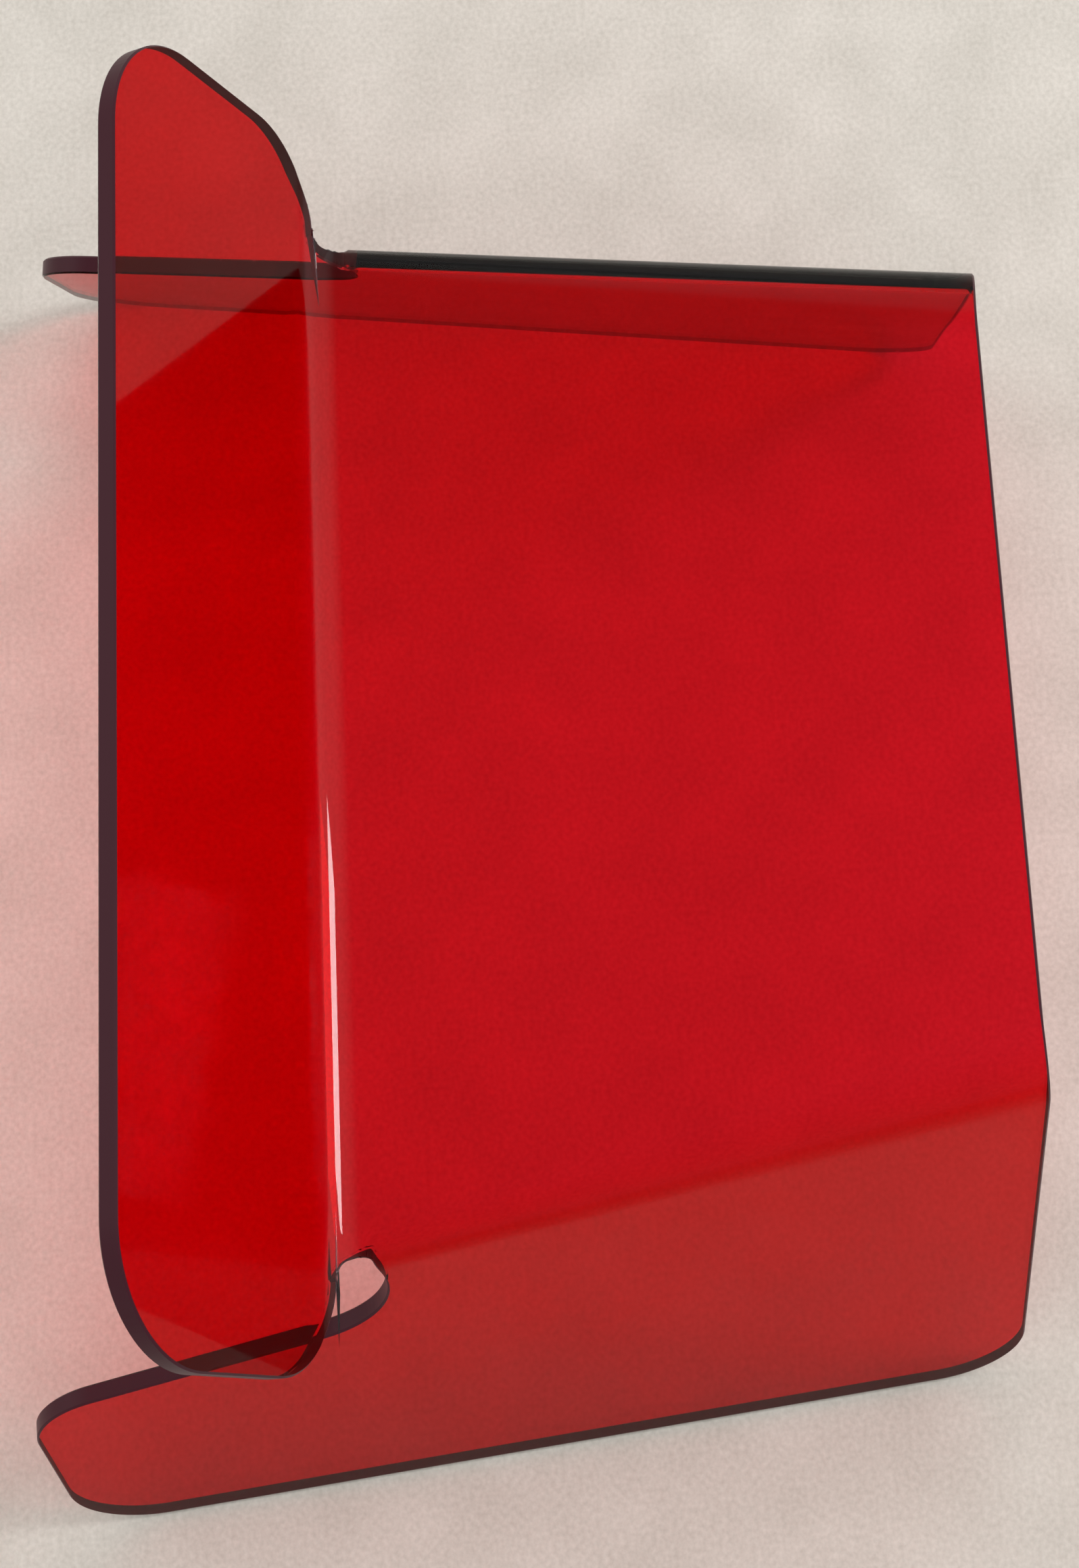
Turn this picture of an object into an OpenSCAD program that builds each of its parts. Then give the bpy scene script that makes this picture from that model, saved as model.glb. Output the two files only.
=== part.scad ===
// Chair-shaped table stand, cut and folded from one sheet of clear red acrylic.
// The sheet has three folds: one at the back of the sloped seat, which lifts the rest,
// and one along each side, which turns the sheet down into a flared leg.
// Two curved slots part the rest from the legs, so each leg runs on behind the rest.
//
// Frame: +Z up, -Y is the open front, +X right. The origin is the middle of the
// footprint, on the surface that the stand rests on.

/* [Sheet] */
// Thickness of the sheet
sheet_t = 3; // [2:0.5:5]

/* [Seat] */
// Width of the seat at its back, between the side fold lines
seat_back_w = 160; // [120:1:220]
// Width of the seat at its front edge
seat_front_w = 121; // [90:1:180]
// Depth of the seat along its slope, from the back fold line to the front edge
seat_depth = 102; // [70:1:150]
// Slope of the seat, rising to the front
seat_slope = 12; // [4:0.5:20]
// Height of the back fold line above the table
seat_height = 79.5; // [60:0.5:120]

/* [Rest] */
// Width of the rest across both lobes
rest_w = 192; // [172:1:260]
// Height of the rest, measured on the sheet from the back fold line
rest_h = 53; // [40:1:90]
// How far the rest is folded up out of the plane of the seat
rest_angle = 76; // [60:1:90]
// Inside radius of the back fold
back_fold_r = 5.5; // [4:0.5:9]
// Radius of the rest's top corners
rest_top_r = 19; // [8:0.5:22]
// Radius of the rest's lower corners, where the lobes meet the slots
rest_low_r = 14.5; // [6:0.5:16]
// Lower edge of the lobes, from the back fold line
rest_low_edge = 0.5; // [0:0.5:3]

/* [Legs] */
// How far each leg is folded down out of the plane of the seat
leg_angle = 73; // [60:1:85]
// Outside radius of the side folds
side_fold_r = 9; // [7:0.5:14]
// Reach of each leg behind the back fold line, along the fold
leg_back_reach = 70; // [58:1:84]
// Drop from the fold line to the top edge of the leg's back part
leg_back_drop = 22; // [18:0.5:32]
// Radius of the two front and four back corners of the legs
leg_corner_r = 14; // [6:0.5:18]
// Radius of the slot's inner corner in each leg
slot_corner_r = 14.5; // [8:0.5:16]
// How far ahead of the back fold's bend the slots end
slot_ahead = 0.3; // [0.3:0.1:4]
// How far the back fold stops short of each side fold line, to leave a relief
relief = 3; // [2:0.5:6]

/* [Hidden] */
// Flat steps that make up the curve of each fold, and of each rounded corner
fold_steps = 18;
corner_steps = 14;
// How far the sides run in under the seat's flat, so that they are one solid with it
side_lap = 6;
// Longer than any size of the stand, for cutting
far = 400;

// How far each fold's bend reaches from its fold line, along the sheet
back_tangent = back_fold_r * tan(rest_angle / 2);
side_tangent = side_fold_r * tan(leg_angle / 2);
// The side fold lines lean in towards the front by this angle
fold_lean = atan((seat_back_w - seat_front_w) / 2 / seat_depth);

// Leg outline, in the leg's own frame: [drop from the fold line, place along the fold]
floor_fall = sin(leg_angle) * cos(seat_slope) - cos(leg_angle) * sin(fold_lean) * sin(seat_slope);
floor_tan = cos(fold_lean) * sin(seat_slope) / floor_fall;
floor_lift = sin(leg_angle) * sin(fold_lean) * sin(seat_slope) + cos(leg_angle) * cos(seat_slope);
floor_drop = (seat_height - sheet_t * floor_lift) / floor_fall;
// Drop at which the leg's inner face meets the table
function floor_at(y) = floor_drop - y * floor_tan;
// Drop just past the bend, where the leg's own edges take over from the seat's
past_bend = side_tangent + 0.5;
// Front edge: goes on from the seat's front edge as in the flat sheet, down to the table
front_k = tan(fold_lean);
front_top_y = (past_bend * cos(leg_angle) * sin(fold_lean) - seat_depth) / cos(fold_lean);
function front_edge_at(drop) = front_top_y + front_k * (drop - past_bend);
front_foot_y = front_edge_at(floor_drop) / (1 + front_k * floor_tan);
// Back edge: square to the table line, with its foot at leg_back_reach
back_top_y = leg_back_reach - floor_tan * (floor_at(leg_back_reach) - leg_back_drop);
// The slots end at this distance ahead of the back fold line
slot_distance = back_tangent + slot_ahead;
slot_y = -slot_distance / cos(fold_lean) - 0.2;
// Above the bend the outline runs on, and the seat's own edges cut the sheet there
outline_top = -far / 4;
leg_outline = rounded([
    [outline_top, front_edge_at(outline_top)],
    [floor_at(front_foot_y), front_foot_y],
    [floor_at(leg_back_reach), leg_back_reach],
    [leg_back_drop, back_top_y],
    [leg_back_drop, slot_y],
    [outline_top, slot_y]
], [
    0, leg_corner_r, leg_corner_r, leg_corner_r,
    min(slot_corner_r, leg_back_drop - past_bend), 0
]);

rest_outline = rounded([
    [-rest_w / 2, rest_low_edge], [rest_w / 2, rest_low_edge],
    [rest_w / 2, rest_h], [-rest_w / 2, rest_h]
], [rest_low_r, rest_low_r, rest_top_r, rest_top_r]);

// How far the legs reach forward and back of the back fold line, along the table
reach_of_drop = -cos(leg_angle) * sin(fold_lean) * cos(seat_slope) - sin(leg_angle) * sin(seat_slope);
reach_of_y = cos(fold_lean) * cos(seat_slope);
reach_of_face = cos(leg_angle) * sin(seat_slope) - sin(leg_angle) * sin(fold_lean) * cos(seat_slope);
reaches = [
    for (q = leg_outline, depth = [0, sheet_t])
        if (q[0] > past_bend) q * [reach_of_drop, reach_of_y] - depth * reach_of_face
];
back_fold_y = -(max(reaches) + min(reaches)) / 2;

// Corner i of an outline: the ways to its neighbours, half its angle, and its rounding.
// The outline's points run anticlockwise, so that a right turn is a hollow corner.
function unit(v) = v / norm(v);
function to_prev(p, i) = unit(p[(i + len(p) - 1) % len(p)] - p[i]);
function to_next(p, i) = unit(p[(i + 1) % len(p)] - p[i]);
function half_angle(p, i) = acos(to_prev(p, i) * to_next(p, i)) / 2;
function turn(p, i) = sign(cross(-to_prev(p, i), to_next(p, i)));
function corner_arc(p, i, r) = let(
    centre = p[i] + unit(to_prev(p, i) + to_next(p, i)) * r / sin(half_angle(p, i)),
    start = p[i] + to_prev(p, i) * r / tan(half_angle(p, i)) - centre,
    sweep = turn(p, i) * (180 - 2 * half_angle(p, i))
) [
    for (k = [0:corner_steps]) let(a = atan2(start[1], start[0]) + sweep * k / corner_steps)
        centre + r * [cos(a), sin(a)]
];
function rounded(p, radii) = [
    for (i = [0:len(p) - 1]) each radii[i] > 0 ? corner_arc(p, i, radii[i]) : [p[i]]
];

// Point on a bend of radius r, after it has turned by an angle, at a depth in the sheet.
// The bend starts at [0, 0] on the upper face. It turns down, or up where r is negative.
function bend_point(r, angle, depth) =
    [sign(r) * (r - depth) * sin(angle), (r - depth) * cos(angle) - r];

// Strip of the sheet that runs flat along x up to 0, round a bend, and on in a straight line
module bent_strip(r, angle, flat_run) {
    upper = [for (i = [0:fold_steps]) bend_point(r, angle * i / fold_steps, 0)];
    lower = [for (i = [fold_steps:-1:0]) bend_point(r, angle * i / fold_steps, sheet_t)];
    straight = far / 2 * [cos(angle), -sign(r) * sin(angle)];
    rotate([90, 0, 0]) translate([0, 0, -far / 2]) linear_extrude(far)
        polygon(concat(
            [[-flat_run, 0]], upper, [upper[fold_steps] + straight, lower[0] + straight],
            lower, [[-flat_run, -sheet_t]]
        ));
}

// Puts its children in the seat's frame: origin on the back fold line, upper face at z = 0
module seat_frame() {
    translate([0, back_fold_y, seat_height]) rotate([-seat_slope, 0, 0]) children();
}

// Right side fold's frame: y runs back along the fold line, x points away from the seat
module side_frame() {
    translate([seat_back_w / 2, 0, 0]) rotate([0, 0, -fold_lean]) children();
}

// Everything behind the seat's front edge
module behind_front_edge() {
    translate([0, -seat_depth, 0]) translate([-far / 2, 0, -far / 2]) cube(far);
}

// Everything ahead of the line across the seat where the slots end
module ahead_of_slots() {
    translate([0, -slot_distance, 0]) translate([-far / 2, -far, -far / 2]) cube(far);
}

// Space of the seat's flat panel, between the side folds
module seat_space() {
    difference() {
        intersection() {
            behind_front_edge();
            ahead_of_slots();
        }
        for (side = [0, 1])
            mirror([side, 0, 0]) side_frame()
                translate([-side_tangent - side_lap / 2, -far, -far]) cube(2 * far);
    }
}

// Space of the back fold: it stops short of the side fold lines, to leave the reliefs
module back_fold_space() {
    intersection() {
        translate([0, -slot_distance, 0]) translate([relief - seat_back_w / 2, 0, -far / 2])
            cube([seat_back_w - 2 * relief, far, far]);
        rotate([rest_angle, 0, 0]) translate([-far / 2, rest_low_r - far, -far / 2]) cube(far);
    }
}

// Space of the rest, with its two lobes
module rest_space() {
    rotate([rest_angle, 0, 0]) translate([0, 0, -far / 2]) linear_extrude(far)
        polygon(rest_outline);
}

// Seat, back fold and rest: one strip, cut to their outlines
module seat_and_rest() {
    intersection() {
        translate([0, -back_tangent, 0]) rotate([0, 0, 90])
            bent_strip(-back_fold_r, rest_angle, far / 2);
        union() {
            seat_space();
            back_fold_space();
            rest_space();
        }
    }
}

// Right side fold and leg: one strip, cut to the leg's outline and the seat's edges
module side_and_leg() {
    intersection() {
        side_frame() translate([-side_tangent, 0, 0])
            bent_strip(side_fold_r, leg_angle, side_lap);
        side_frame() rotate([0, leg_angle, 0]) translate([0, 0, -far / 2])
            linear_extrude(far) polygon(leg_outline);
        behind_front_edge();
        union() {
            ahead_of_slots();
            side_frame() translate([0, -far / 2, -far / 2]) cube(far);
        }
    }
}

module folded_sheet() {
    color([0.75, 0.07, 0.1])
        seat_frame() {
            seat_and_rest();
            for (side = [0, 1])
                mirror([side, 0, 0]) side_and_leg();
        }
}

folded_sheet();
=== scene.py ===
# %% [markdown]
# # A table stand folded from one sheet of clear red acrylic
# The real object starts as a flat sheet, 3 mm thick, that a laser cuts to shape. A hot
# wire then softens it along three straight lines, and it is bent there: the rest up, and
# the two legs down. This lesson makes it in the same order, a flat blank first and then
# the folds, because the outline is easy to draw flat and hard to draw folded.

# %% Load the frame that the model was designed in
import math
import bmesh
import bpy
from mathutils import Matrix, Vector


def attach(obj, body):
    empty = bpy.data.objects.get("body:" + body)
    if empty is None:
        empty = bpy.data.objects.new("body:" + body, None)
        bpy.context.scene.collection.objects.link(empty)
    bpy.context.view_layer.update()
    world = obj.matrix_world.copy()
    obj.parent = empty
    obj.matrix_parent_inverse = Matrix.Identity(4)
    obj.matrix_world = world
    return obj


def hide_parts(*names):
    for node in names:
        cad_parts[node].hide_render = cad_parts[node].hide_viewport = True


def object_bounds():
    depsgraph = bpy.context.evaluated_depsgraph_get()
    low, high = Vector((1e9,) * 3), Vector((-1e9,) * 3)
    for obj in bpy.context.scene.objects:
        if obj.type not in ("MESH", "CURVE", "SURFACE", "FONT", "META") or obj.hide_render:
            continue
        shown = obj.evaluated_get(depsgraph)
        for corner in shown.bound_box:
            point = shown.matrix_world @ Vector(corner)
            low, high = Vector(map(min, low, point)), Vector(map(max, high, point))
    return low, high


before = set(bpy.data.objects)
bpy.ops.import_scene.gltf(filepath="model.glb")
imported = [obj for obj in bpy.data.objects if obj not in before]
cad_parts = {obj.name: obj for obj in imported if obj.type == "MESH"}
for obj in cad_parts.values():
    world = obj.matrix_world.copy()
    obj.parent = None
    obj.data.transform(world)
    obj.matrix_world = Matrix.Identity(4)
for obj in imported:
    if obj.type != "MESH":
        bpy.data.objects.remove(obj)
cad_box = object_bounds()
print("design box, mm:", [[round(v * 1000, 1) for v in corner] for corner in cad_box])

# %% [markdown]
# ## The sizes
# Lengths are in metres, as everywhere in Blender, so each size is written in millimetres
# and turned once. They are the sizes of the design: the seat between the fold lines, the
# rest, the legs, and the bends. The height and the reach come from the design's own box.

# %% Sizes
MM = 0.001
sheet_t = 3 * MM
seat_back_w, seat_front_w, seat_depth = 160 * MM, 121 * MM, 102 * MM
seat_slope, seat_height = math.radians(12), 79.5 * MM
rest_w, rest_h, rest_low_edge = 192 * MM, 53 * MM, 0.5 * MM
rest_top_r, rest_low_r = 19 * MM, 14.5 * MM
rest_angle, back_bend_r = math.radians(76), 5.5 * MM
leg_angle = math.radians(73)
side_bend_front_r, side_bend_back_r = 12.5 * MM, 6.5 * MM
leg_back_reach, leg_back_drop, leg_corner_r = 70 * MM, 22 * MM, 14 * MM
slot_corner_r, slot_width = 15.5 * MM, 5.2 * MM
slot_end_x, slot_end_r = 79.6 * MM, 2.3 * MM

fold_lean = math.atan((seat_back_w - seat_front_w) / 2 / seat_depth)
back_tangent = back_bend_r * math.tan(rest_angle / 2)
slot_distance = back_tangent + 0.3 * MM
print("the side folds lean in by", round(math.degrees(fold_lean), 1), "degrees")

# %% [markdown]
# ## The leg's outline
# A leg is drawn on the folded-down sheet: its drop from the fold line, and its place
# along that line. Its foot must lie on the table, so the line of the foot is worked out
# from the seat's height and slope, and is not drawn by eye.

# %% Where a leg meets the table
cl, sl = math.cos(leg_angle), math.sin(leg_angle)
cs, ss = math.cos(seat_slope), math.sin(seat_slope)
cf, sf = math.cos(fold_lean), math.sin(fold_lean)
floor_fall = sl * cs - cl * sf * ss
floor_tan = cf * ss / floor_fall
floor_drop = (seat_height - sheet_t * (sl * sf * ss + cl * cs)) / floor_fall
side_tangent = 9 * MM * math.tan(leg_angle / 2)


def floor_at(along):
    return floor_drop - along * floor_tan


past_bend = side_tangent + 0.5 * MM
front_top = (past_bend * cl * sf - seat_depth) / cf


def front_edge_at(drop):
    return front_top + math.tan(fold_lean) * (drop - past_bend)


front_foot = front_edge_at(floor_drop) / (1 + math.tan(fold_lean) * floor_tan)
back_top = leg_back_reach - floor_tan * (floor_at(leg_back_reach) - leg_back_drop)
print("the feet are", round((leg_back_reach - front_foot) / MM), "mm long")

# %% [markdown]
# ## The flat blank
# The blank is one closed outline, so the slots come out as the space between the rest
# and the legs. Only the right half is drawn, corner by corner with a radius for each, and
# the left half is its mirror.

# %% Draw the outline
CORNER_STEPS = 24


def flat_place(drop, along):
    """A point of the right leg or fold, laid flat beside the seat."""
    return Vector((seat_back_w / 2 + drop * cf + along * sf, along * cf - drop * sf))


def rounded(corners):
    """The outline with an arc at each corner that has a radius."""
    points = []
    for i, (corner, radius) in enumerate(corners):
        if radius == 0:
            points.append(corner)
            continue
        back = (corners[i - 1][0] - corner).normalized()
        ahead = (corners[(i + 1) % len(corners)][0] - corner).normalized()
        half = back.angle(ahead) / 2
        centre = corner + (back + ahead).normalized() * (radius / math.sin(half))
        start = corner + back * (radius / math.tan(half)) - centre
        sweep = math.copysign(math.pi - 2 * half, ahead.cross(back))
        for k in range(CORNER_STEPS + 1):
            turned = start.copy()
            turned.rotate(Matrix.Rotation(sweep * k / CORNER_STEPS, 2))
            points.append(centre + turned)
    return points


front_t = side_bend_front_r * math.tan(leg_angle / 2)
slot_y = -slot_distance / cf - 0.2 * MM
half_outline = rounded([
    (Vector((0, -seat_depth)), 0),
    (flat_place(-front_t, -(seat_depth + front_t * sf) / cf), 0),
    (flat_place(front_t, front_edge_at(front_t)), 0),
    (flat_place(floor_at(front_foot), front_foot), leg_corner_r),
    (flat_place(floor_at(leg_back_reach), leg_back_reach), leg_corner_r),
    (flat_place(leg_back_drop + 1 * MM, back_top), leg_corner_r),
    (flat_place(leg_back_drop - 0.5 * MM, slot_y), slot_corner_r),
    (Vector((slot_end_x, -slot_distance)), slot_end_r),
    (Vector((slot_end_x, rest_low_edge)), slot_end_r),
    (Vector((rest_w / 2, rest_low_edge)), rest_low_r),
    (Vector((rest_w / 2, rest_h)), rest_top_r),
    (Vector((0, rest_h)), 0),
])
outline = half_outline + [Vector((-p.x, p.y)) for p in reversed(half_outline[1:-1])]
print("outline points:", len(outline))

# %% [markdown]
# ## Lines to bend along
# A flat face can't bend: it needs edges across the bend. The blank is cut by narrow bands
# of parallel lines where the wire heats it, and nowhere else, so the big faces stay
# perfectly flat and reflect as flat acrylic does. One more line, a millimetre outside
# each band, keeps the shading of the bend from spreading over the flat.

# %% Cut the blank along the bends
BEND_STEPS = 24
HOLD = 1 * MM

blank = bmesh.new()
blank.faces.new([blank.verts.new((p.x, p.y, 0)) for p in outline])


def cut_line(a, b):
    """Adds edges where the line from a to b crosses the blank."""
    along = (b - a).normalized()
    bmesh.ops.bisect_plane(
        blank, geom=blank.verts[:] + blank.edges[:] + blank.faces[:], dist=1e-7,
        plane_co=(a.x, a.y, 0), plane_no=(along.y, -along.x, 0),
    )


def band(tangent):
    """Distances of the cut lines from a fold line, for a bend that reaches this far."""
    steps = [tangent * (2 * i / BEND_STEPS - 1) for i in range(BEND_STEPS + 1)]
    return [-tangent - HOLD] + steps + [tangent + HOLD]


back_t = side_bend_back_r * math.tan(leg_angle / 2)
for near, far in zip(band(back_t), band(front_t)):
    a, b = flat_place(near, 0), flat_place(far, -seat_depth)
    cut_line(a, b)
    cut_line(Vector((-a.x, a.y)), Vector((-b.x, b.y)))
for y in band(back_tangent):
    cut_line(Vector((-1, y)), Vector((1, y)))
bmesh.ops.remove_doubles(blank, verts=blank.verts[:], dist=0.02 * MM)
print("faces in the blank:", len(blank.faces))

# %% [markdown]
# ## Thickness, and which part follows which fold
# The blank gets its thickness while it is flat, so the folds stretch its outer face and
# squeeze its inner face as a real bend does. Each point also gets two weights that say
# how much it follows the side folds and the back fold. Near the ends of the slots the
# weight of the side folds fades, because there the real sheet drew itself into a soft
# corner between two bends.

# %% Thicken the blank and weight its points
blank.normal_update()
if sum(f.normal.z for f in blank.faces) < 0:
    bmesh.ops.reverse_faces(blank, faces=blank.faces[:])
under = bmesh.ops.extrude_face_region(blank, geom=blank.faces[:])
for v in (g for g in under["geom"] if isinstance(g, bmesh.types.BMVert)):
    v.co.z -= sheet_t
bmesh.ops.recalc_face_normals(blank, faces=blank.faces[:])
cut_layer = blank.faces.layers.int.new("cut_edge")
for f in blank.faces:
    f[cut_layer] = 1 if abs(f.normal.z) < 0.5 else 0

side_weight = blank.verts.layers.float.new("side_folds")
back_weight = blank.verts.layers.float.new("back_fold")
for v in blank.verts:
    reach = seat_back_w / 2 + 5 * MM if v.co.y < 0 else rest_w / 2 + 1.5 * MM
    behind = v.co.y > -slot_distance and abs(v.co.x) < reach
    v[back_weight] = 1.0 if behind else 0.0
    v[side_weight] = min(max(-v.co.y / slot_distance, 0), 1) if behind else 1.0
mesh = bpy.data.meshes.new("folded_sheet_look")
blank.to_mesh(mesh)
blank.free()
sheet = bpy.data.objects.new("folded_sheet_look", mesh)
bpy.context.collection.objects.link(sheet)
print("points:", len(mesh.vertices))

# %% [markdown]
# ## The fold, as Geometry Nodes
# All three folds follow one rule, so they share one node tree. In the frame of the fold
# line, a point's distance across the line says how far round the bend it is, and it is
# turned by that share of the angle about the bend's axis. What lies past the bend is
# turned by the whole angle. The radius may change along the line, because on the real
# stand the side folds are tight at the back and slack at the front.


# %% A helper that adds one node
def add_node(tree, kind, inputs=None, **settings):
    """Adds a node, sets its properties, and sets or links its inputs."""
    made = tree.nodes.new(kind)
    for name, value in settings.items():
        setattr(made, name, value)
    for key, value in (inputs or {}).items():
        if isinstance(value, bpy.types.NodeSocket):
            tree.links.new(value, made.inputs[key])
        else:
            made.inputs[key].default_value = value
    return made


# %% Build the fold tree
fold = bpy.data.node_groups.new("fold_sheet", "GeometryNodeTree")
for name, kind in (
    ("Sheet", "Geometry"), ("Weight", "String"), ("Line Point", "Vector"), ("Line Turn", "Float"),
    ("Angle", "Float"), ("Front Radius", "Float"), ("Back Radius", "Float"),
    ("Line Length", "Float"), ("Both Sides", "Float"),
    ("Finish", "Material"), ("Edge Finish", "Material"),
):
    fold.interface.new_socket(name=name, in_out="INPUT", socket_type="NodeSocket" + kind)
fold.interface.new_socket(name="Sheet", in_out="OUTPUT", socket_type="NodeSocketGeometry")

M = "ShaderNodeMath"
V = "ShaderNodeVectorMath"
got = fold.nodes.new("NodeGroupInput").outputs
place = add_node(fold, "GeometryNodeInputPosition").outputs[0]
x = add_node(fold, "ShaderNodeSeparateXYZ", {0: place}).outputs[0]
sign = add_node(fold, M, {0: x}, operation="SIGN").outputs[0]
less = add_node(fold, M, {0: sign, 1: 1.0}, operation="SUBTRACT").outputs[0]
side = add_node(fold, M, {0: less, 1: got["Both Sides"], 2: 1.0}, operation="MULTIPLY_ADD").outputs[0]
flip = add_node(fold, "ShaderNodeCombineXYZ", {0: side, 1: 1.0, 2: 1.0}).outputs[0]
right = add_node(fold, V, {0: place, 1: flip}, operation="MULTIPLY").outputs[0]
unturn = add_node(fold, M, {0: got["Line Turn"], 1: -1.0}, operation="MULTIPLY").outputs[0]
level = add_node(
    fold, "ShaderNodeVectorRotate",
    {"Vector": right, "Center": got["Line Point"], "Angle": unturn}, rotation_type="Z_AXIS",
).outputs[0]
local = add_node(fold, V, {0: level, 1: got["Line Point"]}, operation="SUBTRACT").outputs[0]
across, along, depth = add_node(fold, "ShaderNodeSeparateXYZ", {0: local}).outputs[:3]
start = add_node(fold, M, {0: got["Line Length"], 1: -1.0}, operation="MULTIPLY").outputs[0]
radius = add_node(fold, "ShaderNodeMapRange", {
    "Value": along, "From Min": start, "From Max": 0.0,
    "To Min": got["Front Radius"], "To Max": got["Back Radius"],
}).outputs[0]
half = add_node(fold, M, {0: got["Angle"], 1: 0.5}, operation="MULTIPLY").outputs[0]
half_tan = add_node(fold, M, {0: half}, operation="TANGENT").outputs[0]
reach = add_node(fold, M, {0: radius, 1: half_tan}, operation="MULTIPLY").outputs[0]
minus_reach = add_node(fold, M, {0: reach, 1: -1.0}, operation="MULTIPLY").outputs[0]
turned = add_node(fold, "ShaderNodeMapRange", {
    "Value": across, "From Min": minus_reach, "From Max": reach,
    "To Min": 0.0, "To Max": got["Angle"],
}).outputs[0]
over = add_node(fold, M, {0: across, 1: reach}, operation="SUBTRACT").outputs[0]
past = add_node(fold, M, {0: over, 1: 0.0}, operation="MAXIMUM").outputs[0]
before = add_node(fold, M, {0: across, 1: minus_reach}, operation="MINIMUM").outputs[0]
run = add_node(fold, M, {0: before, 1: past}, operation="ADD").outputs[0]
straight = add_node(fold, "ShaderNodeCombineXYZ", {0: run, 1: along, 2: depth}).outputs[0]
minus_radius = add_node(fold, M, {0: radius, 1: -1.0}, operation="MULTIPLY").outputs[0]
axis = add_node(fold, "ShaderNodeCombineXYZ", {0: minus_reach, 1: along, 2: minus_radius}).outputs[0]
bent = add_node(
    fold, "ShaderNodeVectorRotate",
    {"Vector": straight, "Center": axis, "Angle": turned}, rotation_type="Y_AXIS",
).outputs[0]
moved = add_node(fold, V, {0: bent, 1: got["Line Point"]}, operation="ADD").outputs[0]
home = add_node(
    fold, "ShaderNodeVectorRotate",
    {"Vector": moved, "Center": got["Line Point"], "Angle": got["Line Turn"]}, rotation_type="Z_AXIS",
).outputs[0]
folded = add_node(fold, V, {0: home, 1: flip}, operation="MULTIPLY").outputs[0]
weight = add_node(fold, "GeometryNodeInputNamedAttribute", {"Name": got["Weight"]}).outputs["Attribute"]
mixed = add_node(fold, "ShaderNodeMix", data_type="VECTOR")
fold.links.new(weight, mixed.inputs[0])
fold.links.new(place, mixed.inputs[4])
fold.links.new(folded, mixed.inputs[5])
set_place = add_node(
    fold, "GeometryNodeSetPosition", {"Geometry": got["Sheet"], "Position": mixed.outputs[1]}
).outputs[0]
real = add_node(fold, "GeometryNodeRealizeInstances", {0: set_place}).outputs[0]
faces = add_node(fold, "GeometryNodeSetMaterial", {"Geometry": real, "Material": got["Finish"]}).outputs[0]
is_cut = add_node(
    fold, "GeometryNodeInputNamedAttribute", {"Name": "cut_edge"}, data_type="INT",
).outputs["Attribute"]
done = add_node(fold, "GeometryNodeSetMaterial", {
    "Geometry": faces, "Selection": is_cut, "Material": got["Edge Finish"],
}).outputs[0]
fold.links.new(done, fold.nodes.new("NodeGroupOutput").inputs[0])
print("nodes in the fold tree:", len(fold.nodes))


# %% [markdown]
# ## The acrylic
# Red cast acrylic is clear: its colour is in the whole thickness, so light that passes
# through 3 mm of it comes out red, and light that runs inside the sheet to a cut edge has
# crossed so much of it that the edge looks dark. A glass surface with a Volume Absorption
# inside does both by itself. Acrylic starts from an IOR of 1.49, but this dusty sheet mirrors
# far less of the floor than that gives, so the IOR is lowered until the reflections match
# and a thin clear coat brings back the shine. The coat is made strongest in a band along the
# back fold, a painted highlight: it makes the lamp's long highlight in the fold bright without
# a strong lamp. Blender blocks lamps behind glass, which would leave a
# black shadow, so for shadow rays alone the surface is tinted and clear.


# %% Colour helper and the acrylic
def linear(hex_colour):
    """An sRGB hex colour as linear values."""
    parts = [int(hex_colour[i:i + 2], 16) / 255 for i in (1, 3, 5)]
    return [c / 12.92 if c <= 0.04045 else ((c + 0.055) / 1.055) ** 2.4 for c in parts] + [1.0]


acrylic = bpy.data.materials.new("red_cast_acrylic")
acrylic.use_nodes = True
tree = acrylic.node_tree
tree.nodes.clear()
coords = add_node(tree, "ShaderNodeTexCoord").outputs["Object"]
wave = add_node(tree, "ShaderNodeTexNoise", {"Vector": coords, "Scale": 45.0, "Detail": 1.0})
dust = add_node(tree, "ShaderNodeTexNoise", {"Vector": coords, "Scale": 900.0, "Detail": 3.0})
haze = add_node(tree, "ShaderNodeMapRange", {
    "Value": dust.outputs[0], "From Min": 0.62, "From Max": 0.8, "To Min": 0.03, "To Max": 0.22,
})
ripple = add_node(tree, "ShaderNodeBump", {"Height": wave.outputs[0], "Strength": 0.02, "Distance": 0.002})
# Painted highlight: the coat, and so the reflection, is made strongest in a band along the back fold, so
# that the lamp's highlight there comes out bright.
off_fold = add_node(tree, "ShaderNodeVectorMath", {0: coords}, operation="SUBTRACT")
over_fold = add_node(tree, "ShaderNodeVectorMath", {0: off_fold.outputs[0], 1: (0, 1, 1)},
                     operation="MULTIPLY").outputs[0]
from_fold = add_node(tree, "ShaderNodeVectorMath", {0: over_fold}, operation="LENGTH")
painted_fold_shine = add_node(tree, "ShaderNodeMapRange", {
    "Value": from_fold.outputs["Value"], "From Min": 2 * MM, "From Max": 3.6 * MM,
    "To Min": 1.0, "To Max": 0.2,
})
gloss = add_node(tree, "ShaderNodeBsdfPrincipled", {
    "Base Color": linear("#f0e6ea"), "IOR": 1.08, "Transmission Weight": 1.0,
    "Coat Weight": painted_fold_shine.outputs[0], "Coat IOR": 1.4, "Coat Roughness": 0.02,
    "Roughness": haze.outputs[0], "Normal": ripple.outputs[0],
})
shade = add_node(tree, "ShaderNodeBsdfTransparent", {"Color": linear("#f6f0f0")})
rays = add_node(tree, "ShaderNodeLightPath")
surface = add_node(tree, "ShaderNodeMixShader", {
    0: rays.outputs["Is Shadow Ray"], 1: gloss.outputs[0], 2: shade.outputs[0],
})
tint = add_node(tree, "ShaderNodeVolumeAbsorption", {"Color": linear("#fc4594"), "Density": 1700.0})
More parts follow.
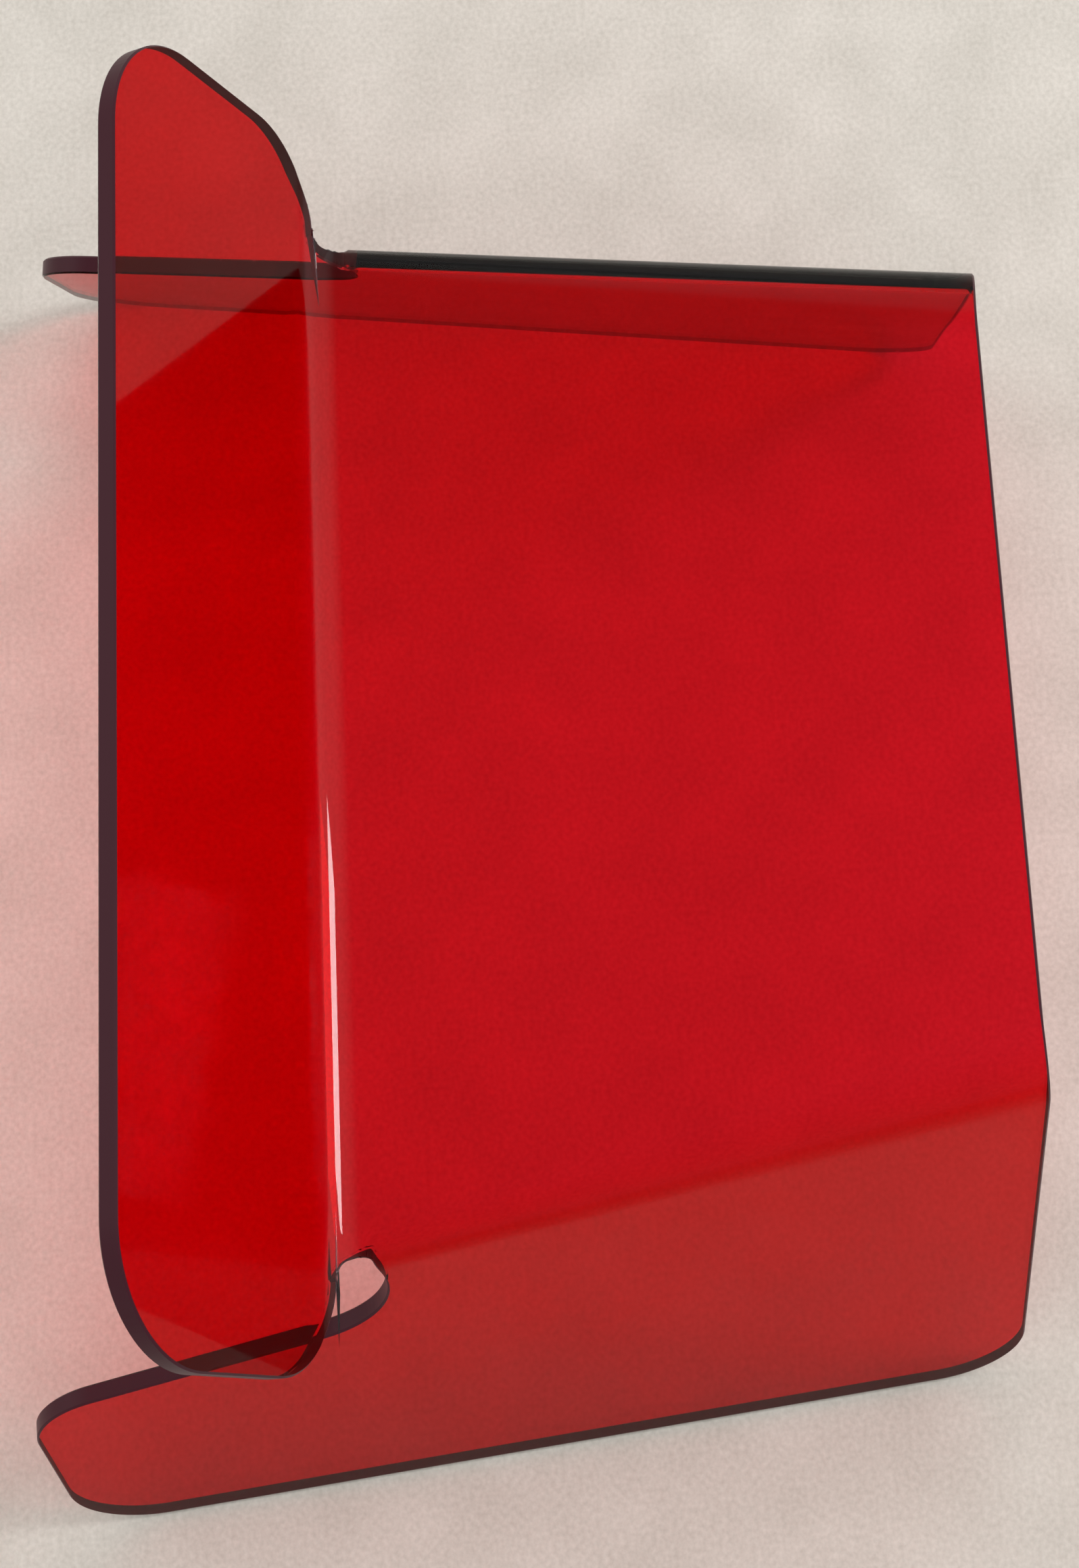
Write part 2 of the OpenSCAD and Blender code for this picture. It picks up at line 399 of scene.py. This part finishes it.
add_node(tree, "ShaderNodeOutputMaterial", {"Surface": surface.outputs[0], "Volume": tint.outputs[0]})
print("finish:", acrylic.name)

cut_acrylic = bpy.data.materials.new("laser_cut_acrylic_edge")
cut_acrylic.use_nodes = True
tree = cut_acrylic.node_tree
base = tree.nodes["Principled BSDF"]
base.inputs["Base Color"].default_value = linear("#3e1622")
base.inputs["Roughness"].default_value = 0.4
base.inputs["Specular IOR Level"].default_value = 0.15
base.inputs["IOR"].default_value = 1.49


# %% [markdown]
# ## Fold it
# The side folds come first and the back fold last. The tree is given its sizes by the
# identifiers of its inputs, before the sheet is looked at for the first time.

# %% Apply the three folds
def fold_along(name, **sizes):
    """Adds the fold tree to the sheet with these sizes."""
    step = sheet.modifiers.new(name, "NODES")
    step.node_group = fold
    for item in fold.interface.items_tree:
        key = item.name.replace(" ", "_").lower()
        if item.in_out == "INPUT" and key in sizes:
            step[item.identifier] = sizes[key]


fold_along(
    "side_folds", weight="side_folds", line_point=(seat_back_w / 2, 0.0, 0.0), line_turn=-fold_lean,
    angle=leg_angle, front_radius=side_bend_front_r, back_radius=side_bend_back_r,
    line_length=seat_depth, both_sides=1.0, finish=acrylic, edge_finish=cut_acrylic,
)
fold_along(
    "back_fold", weight="back_fold", line_point=(0.0, 0.0, 0.0), line_turn=math.pi / 2,
    angle=-rest_angle, front_radius=-back_bend_r, back_radius=-back_bend_r,
    line_length=seat_depth, both_sides=0.0, finish=acrylic, edge_finish=cut_acrylic,
)
edge_round = sheet.modifiers.new("flame_rounded_edges", "BEVEL")
edge_round.width = 0.3 * MM
edge_round.segments = 1
edge_round.limit_method = "ANGLE"
edge_round.angle_limit = math.radians(50)
edge_round.use_clamp_overlap = False
edge_round.loop_slide = False
bpy.context.view_layer.update()
shape = bpy.data.meshes.new_from_object(sheet.evaluated_get(bpy.context.evaluated_depsgraph_get()))
sheet.modifiers.clear()
sheet.data = shape
print("faces after folding:", len(shape.polygons))

# %% [markdown]
# ## Stand it up
# The folds were made with the seat level. The real seat slopes down to the back, and the
# whole stand is centred on its footprint, so the mesh is tipped and moved to where the
# design has it.

# %% Tip the seat and place the stand
shape.transform(Matrix.Translation((0, 0, seat_height)) @ Matrix.Rotation(-seat_slope, 4, "X"))
low, high = min(v.co.y for v in shape.vertices), max(v.co.y for v in shape.vertices)
middle = (cad_box[0][1] + cad_box[1][1]) / 2
shape.transform(Matrix.Translation((0, middle - (low + high) / 2, 0)))
back_fold_y = middle - (low + high) / 2
for polygon in shape.polygons:
    polygon.use_smooth = True
shape.set_sharp_from_angle(angle=math.radians(35))
# Centres the band of painted fold highlight on the back fold.
off_fold.inputs[1].default_value = (0, back_fold_y, seat_height)
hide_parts("folded_sheet")
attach(sheet, "root")
print("stands", round(max(v.co.z for v in shape.vertices) / MM, 1), "mm tall")

# %% [markdown]
# ## Floor
# The stand is on a pale, finely grained surface. The grain matters here, because it is
# seen through the acrylic and shows that the sheet is clear.

# %% Make the floor
stone = bpy.data.materials.new("pale_grained_plaster")
stone.use_nodes = True
tree = stone.node_tree
base = tree.nodes["Principled BSDF"]
coords = add_node(tree, "ShaderNodeTexCoord").outputs["Object"]
grain = add_node(tree, "ShaderNodeTexNoise", {"Vector": coords, "Scale": 1100.0, "Detail": 2.0})
blotch = add_node(tree, "ShaderNodeTexNoise", {"Vector": coords, "Scale": 60.0, "Detail": 4.0})
both = add_node(tree, "ShaderNodeMath", {0: grain.outputs[0], 1: 1.4, 2: blotch.outputs[0]},
                operation="MULTIPLY_ADD")
ramp = add_node(tree, "ShaderNodeMapRange", {
    "Value": both.outputs[0], "From Min": 0.8, "From Max": 1.6, "To Min": 0.0, "To Max": 1.0,
})
pale = add_node(tree, "ShaderNodeMix", data_type="RGBA")
tree.links.new(ramp.outputs[0], pale.inputs[0])
pale.inputs[6].default_value = linear("#cdcac1")
pale.inputs[7].default_value = linear("#e3e0d8")
tree.links.new(pale.outputs[2], base.inputs["Base Color"])
base.inputs["Roughness"].default_value = 0.6
bpy.ops.mesh.primitive_plane_add(size=4)
floor = bpy.context.object
floor.name = "floor"
floor.data.materials.append(stone)

# %% [markdown]
# ## Light
# Plain soft light: most of it comes evenly from all round. One softbox in front of the
# stand is set where the back fold mirrors it, and draws the bright line that shows the bend.
# Two weak ones at the back and the side keep the shadows from being flat.

# %% Lamps and world
def softbox(name, place, target, size, watts, colour="#ffffff"):
    """A rectangular area lamp at a place, aimed at a target."""
    lamp = bpy.data.lights.new(name, "AREA")
    lamp.shape = "RECTANGLE"
    lamp.size, lamp.size_y = size
    lamp.energy = watts
    lamp.color = linear(colour)[:3]
    made = bpy.data.objects.new(name, lamp)
    made.location = place
    made.rotation_euler = (Vector(target) - Vector(place)).to_track_quat("-Z", "Y").to_euler()
    bpy.context.collection.objects.link(made)


centre = (0, 0, 0.05)
softbox("window_softbox", (0.2, -0.9, 1.0), centre, (0.24, 0.4), 4.6)
softbox("side_softbox", (0.3, 1.4, 0.6), centre, (1.0, 0.6), 2)
softbox("far_softbox", (1.4, -0.1, 0.9), centre, (1.4, 1.0), 3)
world = bpy.data.worlds.new("studio")
bpy.context.scene.world = world
world.use_nodes = True
tree = world.node_tree
sky = tree.nodes["Background"]
height = add_node(tree, "ShaderNodeSeparateXYZ", {
    0: add_node(tree, "ShaderNodeTexCoord").outputs["Generated"],
}).outputs[2]
glow = add_node(tree, "ShaderNodeMapRange", {
    "Value": height, "From Min": 0.1, "From Max": 0.75, "To Min": 1.06, "To Max": 0.78,
})
sky.inputs[0].default_value = linear("#f2efec")
tree.links.new(glow.outputs[0], sky.inputs[1])
bpy.context.scene.view_settings.view_transform = "Standard"

# %% [markdown]
# ## Camera
# The stand is seen from almost straight above, from a little towards its left side, with
# its open front to the right of the picture.

# %% Camera
SENSOR_HEIGHT = 36
camera_data = bpy.data.cameras.new("camera")
camera_data.sensor_fit = "VERTICAL"
camera_data.sensor_height = SENSOR_HEIGHT
camera_data.lens = 63.0
camera = bpy.data.objects.new("camera", camera_data)
bpy.context.collection.objects.link(camera)
right_axis = Vector((-0.0437, -0.9988, -0.0217))
forward = Vector((0.2673, 0.0092, -0.9636)).normalized()
right_axis = (right_axis - forward * right_axis.dot(forward)).normalized()
up = right_axis.cross(forward)
turn = Matrix((right_axis, up, -forward)).transposed()
camera.matrix_world = Matrix.Translation((-0.1195, back_fold_y - 0.0358, 0.4738)) @ turn.to_4x4()
bpy.context.scene.camera = camera
